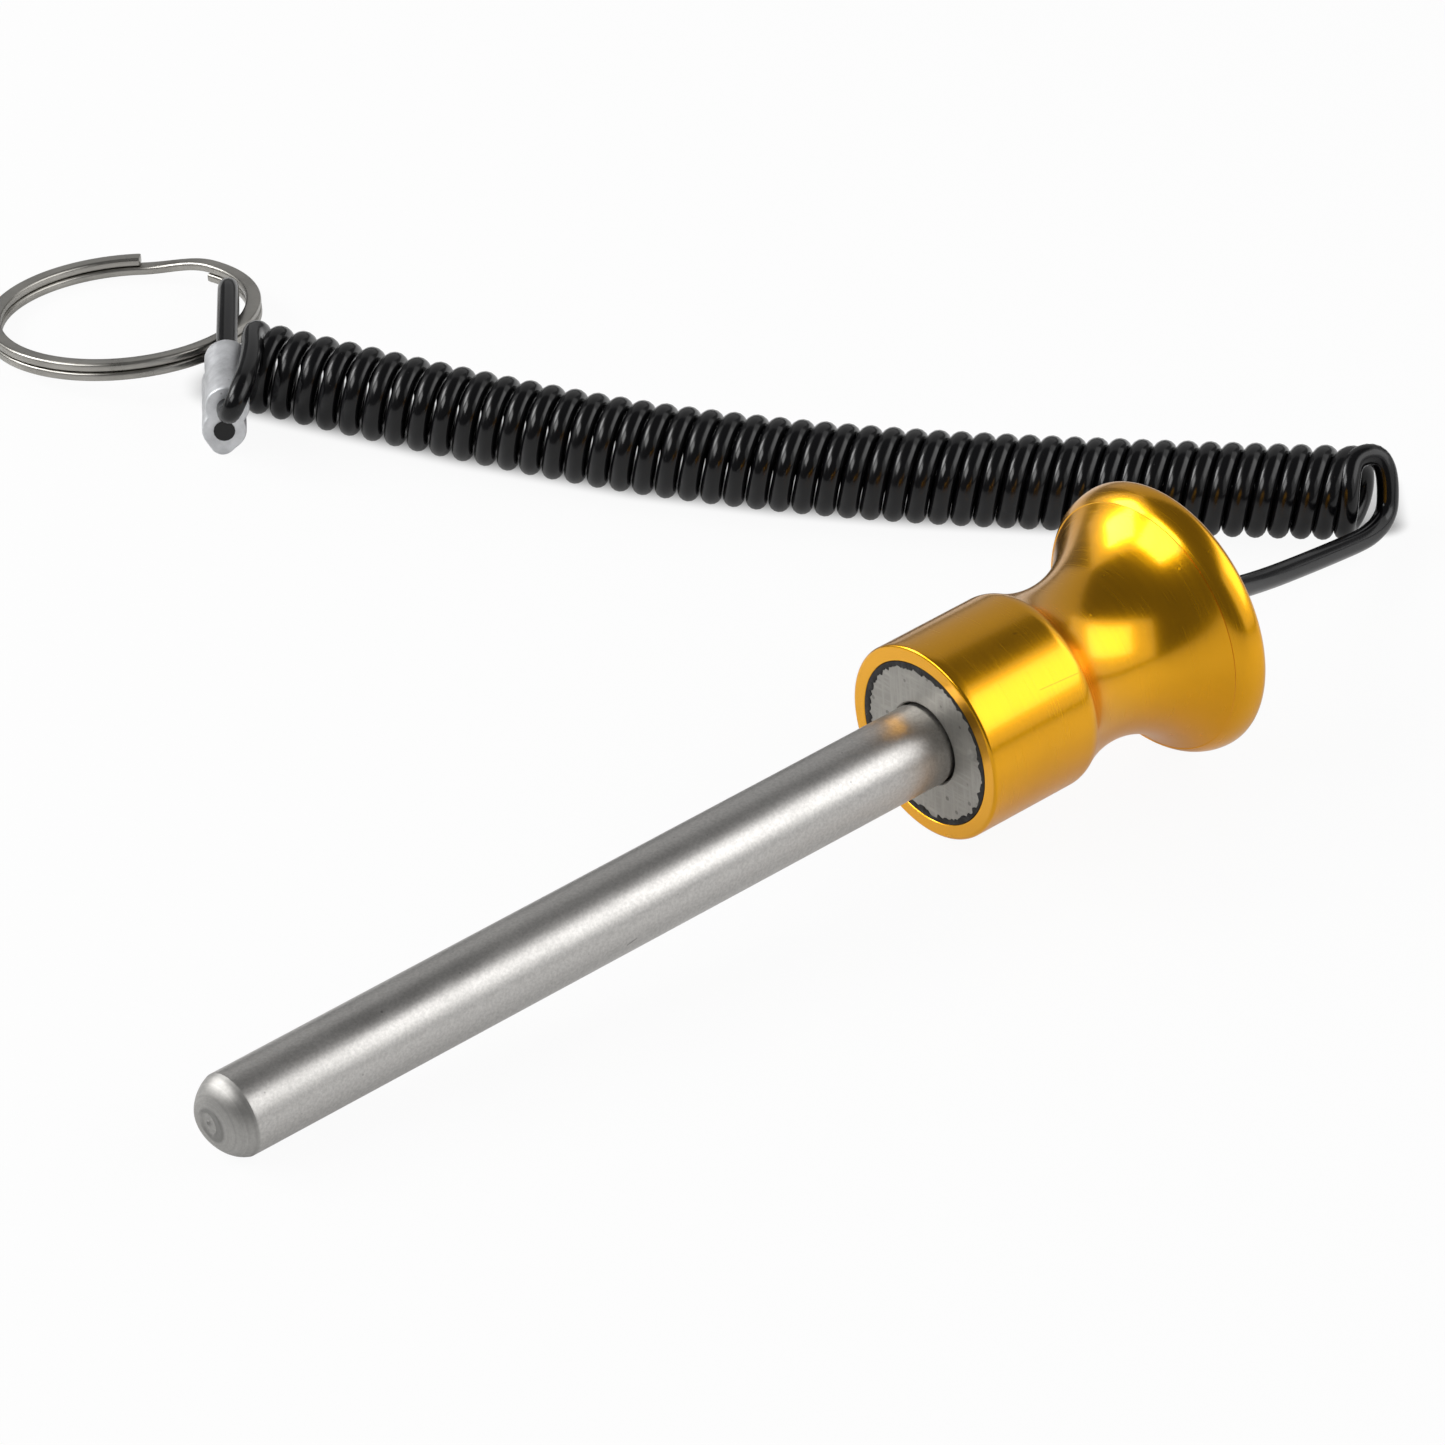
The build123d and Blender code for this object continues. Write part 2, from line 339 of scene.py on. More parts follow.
def mark_group():
    """A line mark, for scratches on the parts and for the painted shade on the floor: how near a place is to
    the line between two points, 1 on it and 0 a width away.
    """
    group, given, result = shader_group(
        "mark",
        [
            ("Place", "NodeSocketVector"),
            ("Start", "NodeSocketVector"),
            ("End", "NodeSocketVector"),
            ("Width", "NodeSocketFloat"),
        ],
        [("Mark", "NodeSocketFloat")],
    )

    line = vector_maths(group, "SUBTRACT", given.outputs["End"], given.outputs["Start"])
    reach = vector_maths(group, "SUBTRACT", given.outputs["Place"], given.outputs["Start"])
    share = maths(
        group,
        "DIVIDE",
        vector_maths(group, "DOT_PRODUCT", reach, line, "Value"),
        vector_maths(group, "DOT_PRODUCT", line, line, "Value"),
        clamp=True,
    )
    away = vector_maths(group, "DISTANCE", reach, vector_maths(group, "SCALE", line, share), "Value")
    near = maths(group, "DIVIDE", away, given.outputs["Width"])
    feed(group, spread(group, near, 0.4, 1.0, 1.0, 0.0, smooth=True), result.inputs["Mark"])


def speckle_group():
    """Dust and pits: small dots where the distance to the nearest cell's middle is under an amount."""
    group, given, result = shader_group(
        "speckle",
        [("Place", "NodeSocketVector"), ("Scale", "NodeSocketFloat"), ("Amount", "NodeSocketFloat")],
        [("Dots", "NodeSocketFloat")],
    )
    cells = group.nodes.new("ShaderNodeTexVoronoi")
    feed(group, given.outputs["Place"], cells.inputs["Vector"])
    feed(group, given.outputs["Scale"], cells.inputs["Scale"])
    patch = noise(group, given.outputs["Place"], 55.0, 2.0)
    size = maths(group, "MULTIPLY", given.outputs["Amount"], patch)
    gap = maths(group, "SUBTRACT", size, cells.outputs["Distance"])
    feed(group, spread(group, gap, 0.0, 0.05, 0.0, 1.0), result.inputs["Dots"])


def shared_groups():
    """The node groups that the materials share, made once."""
    makers = {
        "pin_space": pin_space_group,
        "stretched_grain": stretched_grain_group,
        "mark": mark_group,
        "speckle": speckle_group,
    }
    for name, make in makers.items():
        if name not in bpy.data.node_groups:
            make()
    return {name: bpy.data.node_groups[name] for name in makers}


def speckles(tree, place, scale, amount):
    """The dots of the shared speckle at a place, as a mask."""
    return use_group(tree, "speckle", Place=place, Scale=scale, Amount=amount).outputs["Dots"]


def stain(tree, colour, mask, share, shade):
    """A colour with a shade laid over it where a mask is, to a share."""
    return blend_colours(tree, maths(tree, "MULTIPLY", mask, share), colour, shade)


def add_bump(tree, shader, height, strength, distance):
    """Relief of a height value on a shader's normal."""
    node = tree.nodes.new("ShaderNodeBump")
    node.inputs["Strength"].default_value = strength
    node.inputs["Distance"].default_value = distance
    feed(tree, height, node.inputs["Height"])
    feed(tree, node.outputs["Normal"], shader.inputs["Normal"])


def marks(tree, place, lines):
    """The strongest of several line marks, each (start, end, width) in millimetres: scratches on the parts,
    or painted shade on the floor.
    """
    total = None
    for start, end, width in lines:
        ends = [tuple(np.array(point) * MM) for point in (start, end)]
        node = use_group(tree, "mark", Place=place, Start=ends[0], End=ends[1], Width=width * MM)
        total = node.outputs["Mark"] if total is None else maths(tree, "MAXIMUM", total, node.outputs["Mark"])
    return total


def darker(colour, share):
    """A colour with its light taken down to a share."""
    return (colour[0] * share, colour[1] * share, colour[2] * share, 1.0)


def gold_anodised(settings):
    """Polished, dyed aluminium: deep gold with faint turning lines, one hairline scratch and a few specks."""
    material, tree, shader, place = new_material("gold_anodised")
    turned_place = use_group(tree, "pin_space", Place=place).outputs["Place"]
    grain = use_group(tree, "stretched_grain", Place=turned_place, Fineness=(5200.0, 130.0, 130.0))
    scratch = marks(
        tree,
        place,
        [
            ((40.46, -9.85, 21.72), (47.24, -10.1, 21.96), 0.07),
            ((41.6, -4.05, 26.2), (41.95, -4.1, 26.2), 0.16),
            ((42.4, -8.0, 24.2), (42.6, -8.0, 24.2), 0.14),
        ],
    )
    specks = speckles(tree, place, 260.0, 0.1)
    colour = blend_colours(tree, grain.outputs["Cloud"], darker(settings.gold, 0.85), settings.gold)
    colour = stain(tree, colour, scratch, 0.55, (0.35, 0.15, 0.01, 1))
    feed(tree, colour, shader.inputs["Base Color"])
    shader.inputs["Metallic"].default_value = 1.0
    shader.inputs["Coat Weight"].default_value = 0.4
    shader.inputs["Coat Roughness"].default_value = 0.12
    base = settings.gold_roughness
    rough = spread(tree, grain.outputs["Lines"], 0.3, 0.7, base - 0.03, base + 0.04)
    rough = maths(tree, "ADD", rough, maths(tree, "MULTIPLY", specks, 0.3))
    feed(tree, rough, shader.inputs["Roughness"])
    height = maths(tree, "SUBTRACT", grain.outputs["Lines"], maths(tree, "MULTIPLY", scratch, 1.5))
    add_bump(tree, shader, height, 0.12, 0.00001)
    return material


def satin_steel(settings):
    """Ground stainless bar: fine rings, a soft sheen, small pits and a few handling marks."""
    material, tree, shader, place = new_material("satin_steel")
    turned_place = use_group(tree, "pin_space", Place=place).outputs["Place"]
    grain = use_group(tree, "stretched_grain", Place=turned_place, Fineness=(3600.0, 420.0, 420.0))
    fine = noise(tree, place, 2600.0, 2.0, 0.7)
    pits = speckles(tree, place, 420.0, 0.12)
    scratch = marks(
        tree,
        place,
        [
            ((-16.9, -4.83, 8.1), (-15.6, -4.8, 8.5), 0.16),
            ((12.0, -4.1, 14.6), (16.5, -4.0, 15.2), 0.06),
            ((-2.0, -4.6, 12.4), (0.5, -4.5, 12.9), 0.05),
            ((-24.0, -3.6, 12.0), (-22.0, -3.5, 12.4), 0.05),
        ],
    )
    flecks = spread(tree, fine, 0.35, 0.65, 0.0, 1.0)
    colour = blend_colours(tree, flecks, darker(settings.steel, 0.82), settings.steel)
    wear = maths(tree, "MAXIMUM", pits, scratch)
    colour = stain(tree, colour, wear, 0.6, (0.16, 0.155, 0.15, 1))
    shader.inputs["Metallic"].default_value = 1.0
    base = settings.steel_roughness
    # The nose is duller than the wall, and its turning lines are rings about the axis.
    reach = vector_maths(tree, "SUBTRACT", turned_place, tuple(TIP * MM))
    along = vector_maths(tree, "DOT_PRODUCT", reach, (1.0, 0.0, 0.0), "Value")
    across = vector_maths(tree, "MULTIPLY", reach, (0.0, 1.0, 1.0))
    away = maths(tree, "SQRT", vector_maths(tree, "DOT_PRODUCT", across, across, "Value"))
    on_nose = spread(tree, along, 0.0026, 0.0029, 1.0, 0.0)
    lines = noise(tree, away, 2600.0, 2.0, 0.6)
    lines = maths(tree, "MULTIPLY", spread(tree, lines, 0.35, 0.65, 0.0, 1.0), on_nose)
    colour = stain(tree, colour, on_nose, 0.45, (0.36, 0.355, 0.34, 1))
    colour = stain(tree, colour, lines, 0.3, (0.2, 0.2, 0.19, 1))
    on_flat = spread(tree, along, 0.00004, 0.0003, 1.0, 0.0)
    on_flat = maths(tree, "MULTIPLY", on_flat, spread(tree, away, 0.0019, 0.0023, 1.0, 0.0))
    colour = stain(tree, colour, on_flat, 0.55, (0.12, 0.12, 0.115, 1))
    feed(tree, colour, shader.inputs["Base Color"])
    rough = spread(tree, grain.outputs["Cloud"], 0.3, 0.7, base - 0.04, base + 0.05)
    rough = maths(tree, "ADD", rough, maths(tree, "MULTIPLY", on_nose, 0.14))
    feed(tree, rough, shader.inputs["Roughness"])
    height = maths(tree, "ADD", grain.outputs["Lines"], maths(tree, "MULTIPLY", fine, 0.6))
    height = maths(tree, "SUBTRACT", height, maths(tree, "MULTIPLY", lines, 1.5))
    add_bump(tree, shader, maths(tree, "SUBTRACT", height, wear), 0.22, 0.00001)
    return material


def magnet_grey(settings):
    """Dull nickel plating with random fine scratches and worn dark spots."""
    material, tree, shader, place = new_material("magnet_grey")
    turned_place = use_group(tree, "pin_space", Place=place).outputs["Place"]
    one_way = use_group(tree, "stretched_grain", Place=turned_place, Fineness=(400.0, 1800.0, 160.0))
    other_way = use_group(tree, "stretched_grain", Place=turned_place, Fineness=(400.0, 240.0, 2300.0))
    lines = maths(tree, "MAXIMUM", one_way.outputs["Lines"], other_way.outputs["Lines"])
    spots = speckles(tree, place, 520.0, 0.3)
    scratch = marks(
        tree,
        place,
        [
            ((31.3, 3.6, 27.6), (31.4, 5.4, 25.6), 0.09),
            ((31.3, 1.0, 28.6), (31.3, 1.9, 27.4), 0.07),
            ((31.7, -5.2, 13.4), (31.75, -4.0, 12.8), 0.09),
            ((31.7, -2.4, 12.3), (31.75, -3.4, 12.0), 0.07),
        ],
    )
    streaks = spread(tree, lines, 0.45, 0.75, 0.0, 1.0)
    colour = blend_colours(tree, streaks, darker(settings.magnet, 0.8), settings.magnet)
    wear = maths(tree, "MAXIMUM", maths(tree, "MULTIPLY", spots, 0.7), scratch)
    colour = stain(tree, colour, wear, 0.7, (0.07, 0.068, 0.065, 1))
    feed(tree, colour, shader.inputs["Base Color"])
    shader.inputs["Metallic"].default_value = 0.75
    feed(tree, spread(tree, lines, 0.35, 0.75, 0.5, 0.36), shader.inputs["Roughness"])
    add_bump(tree, shader, maths(tree, "SUBTRACT", lines, wear), 0.14, 0.00002)
    return material


def black_glue(settings):
    """Hardened black adhesive: dull, lumpy and slightly brown where it is thin."""
    material, tree, shader, place = new_material("black_glue")
    lumps = noise(tree, place, 900.0, 4.0, 0.65)
    colour = blend_colours(tree, lumps, (0.002, 0.002, 0.002, 1), (0.012, 0.010, 0.009, 1))
    feed(tree, colour, shader.inputs["Base Color"])
    feed(tree, spread(tree, lumps, 0.3, 0.7, 0.45, 0.75), shader.inputs["Roughness"])
    add_bump(tree, shader, lumps, 0.6, 0.0001)
    return material


def black_cord(settings):
    """Extruded plastic covering: near black, smooth and glossy, with a little dust."""
    material, tree, shader, place = new_material("black_cord")
    cloud = noise(tree, place, 160.0, 3.0)
    fine = noise(tree, place, 1500.0, 2.0)
    dust = speckles(tree, place, 700.0, 0.12)
    colour = blend_colours(tree, cloud, settings.cord, darker(settings.cord, 1.9))
    colour = stain(tree, colour, dust, 0.25, (0.12, 0.12, 0.12, 1))
    feed(tree, colour, shader.inputs["Base Color"])
    base = settings.cord_roughness
    feed(tree, spread(tree, cloud, 0.3, 0.7, base - 0.04, base + 0.05), shader.inputs["Roughness"])
    shader.inputs["Specular IOR Level"].default_value = 0.38
    add_bump(tree, shader, fine, 0.08, 0.00002)
    return material


def dull_aluminium(settings):
    """Pressed soft aluminium: pale and matt on its sides, with press marks and grey rub."""
    material, tree, shader, place = new_material("dull_aluminium")
    cloud = noise(tree, place, 260.0, 4.0, 0.6)
    fine = noise(tree, place, 1700.0, 3.0, 0.6)
    spots = speckles(tree, place, 480.0, 0.25)
    rub = spread(tree, cloud, 0.35, 0.65, 0.0, 1.0)
    colour = blend_colours(tree, rub, darker(settings.sleeve, 0.7), settings.sleeve)
    colour = stain(tree, colour, spots, 0.5, (0.2, 0.2, 0.2, 1))
    feed(tree, colour, shader.inputs["Base Color"])
    shader.inputs["Metallic"].default_value = 0.85
    feed(tree, spread(tree, fine, 0.3, 0.7, 0.42, 0.6), shader.inputs["Roughness"])
    add_bump(tree, shader, maths(tree, "ADD", fine, cloud), 0.25, 0.00004)
    return material


def ring_steel(settings):
    """Nickel-plated spring wire: warm grey, with lines drawn along the wire and darker rubbed places."""
    material, tree, shader, place = new_material("ring_steel")
    cloud = noise(tree, place, 140.0, 4.0, 0.6)
    layers = use_group(tree, "stretched_grain", Place=place, Fineness=(90.0, 90.0, 2600.0))
    spots = speckles(tree, place, 430.0, 0.16)
    rub = spread(tree, cloud, 0.3, 0.7, 0.0, 1.0)
    colour = blend_colours(tree, rub, darker(settings.ring, 0.66), settings.ring)
    colour = stain(tree, colour, spots, 0.5, (0.12, 0.11, 0.1, 1))
    feed(tree, colour, shader.inputs["Base Color"])
    shader.inputs["Metallic"].default_value = 1.0
    feed(tree, spread(tree, cloud, 0.3, 0.7, 0.24, 0.36), shader.inputs["Roughness"])
    add_bump(tree, shader, layers.outputs["Lines"], 0.2, 0.00002)
    return material


# Cord


def fill_spline(curve, points, resolution):
    """One open third-order NURBS spline that starts and ends on its first and last control point."""
    spline = curve.splines.new("NURBS")
    spline.points.add(len(points) - 1)
    weighted = np.c_[np.asarray(points, float) * MM, np.ones(len(points))]
    spline.points.foreach_set("co", weighted.astype(np.float32).ravel())
    spline.order_u = 3
    spline.use_endpoint_u = True
    spline.resolution_u = resolution


def spline_points(points, resolution):
    """Points along the spline with those control points, in millimetres, read from a curve with no bevel."""
    curve = bpy.data.curves.new("route", "CURVE")
    curve.dimensions = "3D"
    fill_spline(curve, points, resolution)
    route = bpy.data.objects.new("route", curve)
    mesh = bpy.data.meshes.new_from_object(route)
    flat = np.zeros(len(mesh.vertices) * 3)
    mesh.vertices.foreach_get("co", flat)
    bpy.data.meshes.remove(mesh)
    bpy.data.objects.remove(route)
    bpy.data.curves.remove(curve)
    return flat.reshape(-1, 3) / MM


def even_steps(line, step):
    """The line again with its points one step apart, measured along it."""
    reach = np.concatenate([[0], np.cumsum(np.linalg.norm(np.diff(line, axis=0), axis=1))])
    at = np.linspace(0, reach[-1], int(reach[-1] / step) + 1)
    return np.stack([np.interp(at, reach, line[:, i]) for i in range(3)], axis=1)


def tube_points(line, radius, sides):
    """A round cord along a line, with its cut faces.

    A point is line(t) + radius * (cos b * across + sin b * over): across is square to the line and to
    the coil's heading, which the line never follows, and over is square to both."""
    ahead = np.gradient(line, axis=0)
    ahead /= np.linalg.norm(ahead, axis=1)[:, None]
    across = np.cross(ahead, np.array([math.cos(COIL_HEADING), math.sin(COIL_HEADING), 0.0]))
    across /= np.linalg.norm(across, axis=1)[:, None]
    over = np.cross(across, ahead)
    # The rows at both ends shrink over a short rounded edge to the middle of the cut face.
    rows = np.concatenate([[0, 0, 0], np.arange(len(line)), [-1, -1, -1]])
    size = np.concatenate([[0.0, 0.6, 0.9], np.ones(len(line)), [0.9, 0.6, 0.0]]) * radius
    b = np.linspace(0, 2 * math.pi, sides, endpoint=False)
    ring = np.cos(b)[None, :, None] * across[rows][:, None, :]
    ring += np.sin(b)[None, :, None] * over[rows][:, None, :]
    return line[rows][:, None, :] + size[:, None, None] * ring


def helix_points(settings):
    """Control points of the coil, from its far end to its near end.

    The pitch p(k) is the parabola through the far, middle and near pitch over the turns k,
    and the way s(k) along the route is its sum. A point is route(s) + shift * ahead +
    r * (sin(-2 pi k) * facing + cos(2 pi k) * up): the turns face one way all along the coil,
    their tops lean to the handle, and the last two turns swing open at the end."""
    line = spline_points(COIL_ROUTE, 32)
    reach = np.concatenate([[0], np.cumsum(np.linalg.norm(np.diff(line, axis=0), axis=1))])

    def along_route(s):
        return np.stack([np.interp(s, reach, line[:, i]) for i in range(3)], axis=1)

    per_turn = settings.points_per_turn
    k = np.arange(int(settings.turns * per_turn) + 1) / per_turn
    half = settings.turns / 2
    far, middle, near = settings.far_pitch / MM, settings.middle_pitch / MM, settings.near_pitch / MM
    slope = (near - far) / (2 * half)
    bend = (far - 2 * middle + near) / (2 * half * half)
    s = 0.25 + middle * k + slope * ((k - half) ** 2 - half**2) / 2 + bend * ((k - half) ** 3 + half**3) / 3
    ahead = along_route(s + 0.5) - along_route(s - 0.5)
    ahead /= np.linalg.norm(ahead, axis=1)[:, None]
    headings = [settings.far_facing, settings.middle_facing, settings.near_facing]
    heading = np.interp(k, [0, half, 2 * half], headings)
    facing = np.stack([np.sin(heading), -np.cos(heading), np.zeros(len(k))], axis=1)
    angle = 2 * math.pi * k
    # A back pass swings out four times as far as a front pass swings in.
    swing = np.where(np.sin(angle) > 0, 4.0, 1.0) * np.sin(angle)
    swing *= np.clip((k - settings.turns + 2.05) / 2, 0, 1)
    shift = (settings.top_lean * np.cos(angle) + settings.last_swing * swing) / MM
    radius = settings.coil_radius / MM * 2 / (1 + math.cos(math.pi / per_turn))
    turn = np.sin(-angle)[:, None] * facing + np.cos(angle)[:, None] * np.array([0.0, 0.0, 1.0])
    return along_route(s) + shift[:, None] * ahead + radius * turn


def length_setting(name, description, default):
    """A length that can be set in the panel."""
    return bpy.props.FloatProperty(
        name=name, description=description, default=default, min=0, unit="LENGTH"
    )


def heading_setting(name, description, default):
    """A heading that can be set in the panel."""
    return bpy.props.FloatProperty(name=name, description=description, default=default, unit="ROTATION")


def colour_setting(name, description, default):
    """A colour that can be set in the panel."""
    return bpy.props.FloatVectorProperty(
        name=name, description=description, subtype="COLOR", size=4, default=default, min=0, max=1
    )


def share_setting(name, description, default):
    """A share from 0 to 1 that can be set in the panel."""
    return bpy.props.FloatProperty(
        name=name, description=description, default=default, min=0, max=1, subtype="FACTOR"
    )


class STACKPIN_PG_cord(bpy.types.PropertyGroup):
    diameter: length_setting("Diameter", "Thickness of the cord", 0.00275)
    turns: bpy.props.FloatProperty(name="Turns", description="Full turns of the coil", default=48.8, min=1)
    points_per_turn: bpy.props.IntProperty(
        name="Points per turn", description="Control points in one turn", default=16, min=12
    )
    coil_radius: length_setting("Coil radius", "Radius of the cord's middle line in a turn", 0.0046)
    far_pitch: length_setting("Far pitch", "Distance between turns at the sleeve", 0.00343)
    middle_pitch: length_setting("Middle pitch", "Distance between turns at mid coil", 0.00289)
    near_pitch: length_setting("Near pitch", "Distance between turns at the handle", 0.00284)
    far_facing: heading_setting("Far facing", "Heading of a turn's plane at the sleeve", COIL_HEADING)
    middle_facing: heading_setting("Middle facing", "Heading of a turn's plane at mid coil", COIL_HEADING)
    near_facing: heading_setting(
        "Near facing", "Heading of a turn's plane at the handle", math.radians(-51)
    )
    top_lean: length_setting("Top lean", "How far the tops of the turns lean to the handle", 0.0004)
    last_swing: length_setting("Last swing", "How far the last front pass swings back", 0.0006)


class STACKPIN_PG_finish(bpy.types.PropertyGroup):
    gold: colour_setting("Gold", "Dye of the handle", (0.93, 0.43, 0.003, 1))
    gold_roughness: share_setting("Gold roughness", "Blur of the handle's reflections", 0.24)
    steel: colour_setting("Steel", "Colour of the shank", (0.60, 0.585, 0.565, 1))
    steel_roughness: share_setting("Steel roughness", "Blur of the shank's reflections", 0.36)
    magnet: colour_setting("Magnet", "Colour of the magnet", (0.43, 0.415, 0.38, 1))
    cord: colour_setting("Cord", "Colour of the cord", (0.002, 0.002, 0.0025, 1))
    cord_roughness: share_setting("Cord roughness", "Blur of the cord's reflections", 0.17)
    sleeve: colour_setting("Sleeve", "Colour of the crimp sleeve", (0.80, 0.81, 0.83, 1))
    ring: colour_setting("Ring", "Colour of the split ring", (0.47, 0.455, 0.42, 1))


class STACKPIN_PG_handle(bpy.types.PropertyGroup):
    body_radius: length_setting("Body radius", "Radius of the round body", 0.01222)
    neck_radius: length_setting("Neck radius", "Radius at the slimmest place", 0.01015)
    rim_radius: length_setting("Rim radius", "Radius of the flared rim", 0.017)
    segments: bpy.props.IntProperty(
        name="Segments", description="Facets round the turned pieces", default=224, min=48
    )


class STACKPIN_OT_cord(bpy.types.Operator):
    """Lays the cord as one line: tail, coil, sleeve and loop"""

    bl_idname = "stackpin.cord"
    bl_label = "Cord"

    def execute(self, context):
        settings = context.scene.stackpin_cord
        coil = helix_points(settings)
        points = np.concatenate([np.array(TAIL_ROUTE), coil[::-1], np.array(LOOP_ROUTE)])
        line = even_steps(spline_points(points, 12), 0.5)
        mesh = grid_mesh("cord", tube_points(line, settings.diameter / MM / 2, 16), False, True)
        mesh.materials.append(black_cord(context.scene.stackpin_finish))
        cord = add_piece("cord", ROOT_BODY, ["cord_tail", "cord_coil", "cord_loop"], mesh)
        return {"FINISHED"}


class STACKPIN_OT_sleeve(bpy.types.Operator):
    """Presses the crimp sleeve"""

    bl_idname = "stackpin.sleeve"
    bl_label = "Crimp sleeve"

    def execute(self, context):
        # A ray from the middle of the section leaves the furthest of its circles: the two lobes,
        # and circles that shrink from the lower lobe to the keel. A power mean of the upper and
        # the lower exit softens the waist.
        middle = np.array([0.0, LOBE_SPACING / 2])
        fade = np.linspace(0.0, 1.0, 14)
        lower = np.stack([0 * fade, -KEEL_DROP * fade], axis=1)
        centres = np.concatenate([[[0.0, LOBE_SPACING]], lower]) - middle
        radii = np.concatenate([[LOBE_R], LOBE_R + (KEEL_R - LOBE_R) * fade])
        angle = np.linspace(0, 2 * math.pi, 144, endpoint=False)
        ray = np.stack([np.cos(angle), np.sin(angle)], axis=1)
        towards = ray @ centres.T
        inside = radii**2 - (centres**2).sum(axis=1) + towards**2
        exits = np.where(inside > 0, towards + np.sqrt(np.maximum(inside, 0)), 0.01)
        outline = (exits[:, 0] ** 26 + exits[:, 1:].max(axis=1) ** 26) ** (1 / 26)
        # Stations run from the middle of one face over a quarter-round edge to the middle of the other.
        length, rounding = SLEEVE_LENGTH, 0.28
        turn = np.linspace(0, math.pi / 2, 5)
        edge, inset = rounding * (1 - np.cos(turn)), rounding * (1 - np.sin(turn))
        body = np.linspace(rounding, length - rounding, 26)[1:-1]
        station = np.concatenate([[0, 0], edge, body, length - edge[::-1], [length, length]])
        cut = np.concatenate([[rounding] * 2, inset, 0 * body, inset[::-1], [rounding] * 2])
        scale = np.ones(len(station))
        scale[[0, 1, -2, -1]] = (0.0, 0.5, 0.5, 0.0)
        # Two shallow bands stay where the jaws closed on the sides.
        bands = np.exp(-(((station - 4.6) / 1.3) ** 2)) + np.exp(-(((station - 9.2) / 1.3) ** 2))
        pressed = 0.07 * bands[:, None] * np.abs(np.cos(angle))[None, :]
        radius = (outline[None, :] - cut[:, None] - pressed) * scale[:, None]
        section = middle + radius[:, :, None] * ray[None, :, :]
        ahead = np.append(SLEEVE_AHEAD, 0.0)
        across = np.append(SLEEVE_RIGHT * math.cos(SLEEVE_ROLL), -math.sin(SLEEVE_ROLL))
        rise = np.append(SLEEVE_RIGHT * math.sin(SLEEVE_ROLL), math.cos(SLEEVE_ROLL))
        base = np.array(beside_sleeve(0.0, 0.0, LOWER_BORE_Z))
        points = base + station[:, None, None] * ahead + section[:, :, :1] * across + section[:, :, 1:] * rise
        mesh = grid_mesh("sleeve", points, False, True)
        mesh.materials.append(dull_aluminium(context.scene.stackpin_finish))
        add_piece("sleeve", ROOT_BODY, ["crimp_sleeve"], mesh)
        return {"FINISHED"}


class STACKPIN_OT_ring(bpy.types.Operator):
    """Winds the split ring: flat wire, two turns, with its crossing"""

    bl_idname = "stackpin.ring"
    bl_label = "Split ring"

    def execute(self, context):
        # The middle of the wire is (r cos a, r sin a, z): the upper turn, a cosine slope, the lower turn.
        start, crossing = np.radians([CROSSING[1], CROSSING[0] + 360])
        landing, last = np.radians([CROSSING[1] + 360, CROSSING[0] + 720])
        runs = [
            [start, start, start + 0.004],
            np.linspace(start + 0.02, crossing, 150, endpoint=False),
            np.linspace(crossing, landing, 40, endpoint=False),
            np.linspace(landing, last - 0.02, 150),
            [last - 0.004, last, last],
        ]
        a = np.concatenate(runs)
        slope = np.clip((a - crossing) / (landing - crossing), 0, 1)
        height = RING_WIRE[1] / 2 + RING_RISE * (1 + np.cos(math.pi * slope)) / 2
        # Its section is a rounded bar, drawn in to a point at both cut faces.
        b = np.linspace(0, 2 * math.pi, 28, endpoint=False)
        corner = 0.42
        wide = np.sign(np.cos(b)) * (RING_WIRE[0] / 2 - corner) + corner * np.cos(b)
        tall = np.sign(np.sin(b)) * (RING_WIRE[1] / 2 - corner) + corner * np.sin(b)
        full = np.ones(len(a))
        full[[0, 1, 2, -3, -2, -1]] = (0.0, 0.85, 0.97, 0.97, 0.85, 0.0)
        out = np.stack([np.cos(a), np.sin(a), 0 * a], axis=1)
        wide, tall = full[:, None] * wide[None, :], full[:, None] * tall[None, :]
        points = out[:, None, :] * (RING_R - RING_WIRE[0] / 2 + wide[:, :, None])
        points[:, :, 2] = height[:, None] + tall
        raised = np.array([math.sin(RING_HEADING), -math.cos(RING_HEADING), 0.0])
        x_axis = np.array([math.cos(RING_HEADING), math.sin(RING_HEADING), 0.0])
        z_axis = np.array([0.0, 0.0, math.cos(RING_LEAN)]) - raised * math.sin(RING_LEAN)
        origin = np.append(RING_CENTRE, RING_R * math.sin(RING_LEAN))
        points = origin + points @ np.stack([x_axis, np.cross(z_axis, x_axis), z_axis])
        mesh = grid_mesh("key_ring", points, False, True)
        mesh.materials.append(ring_steel(context.scene.stackpin_finish))
        add_piece("key_ring", RING_BODY, ["split_ring"], mesh)
        return {"FINISHED"}


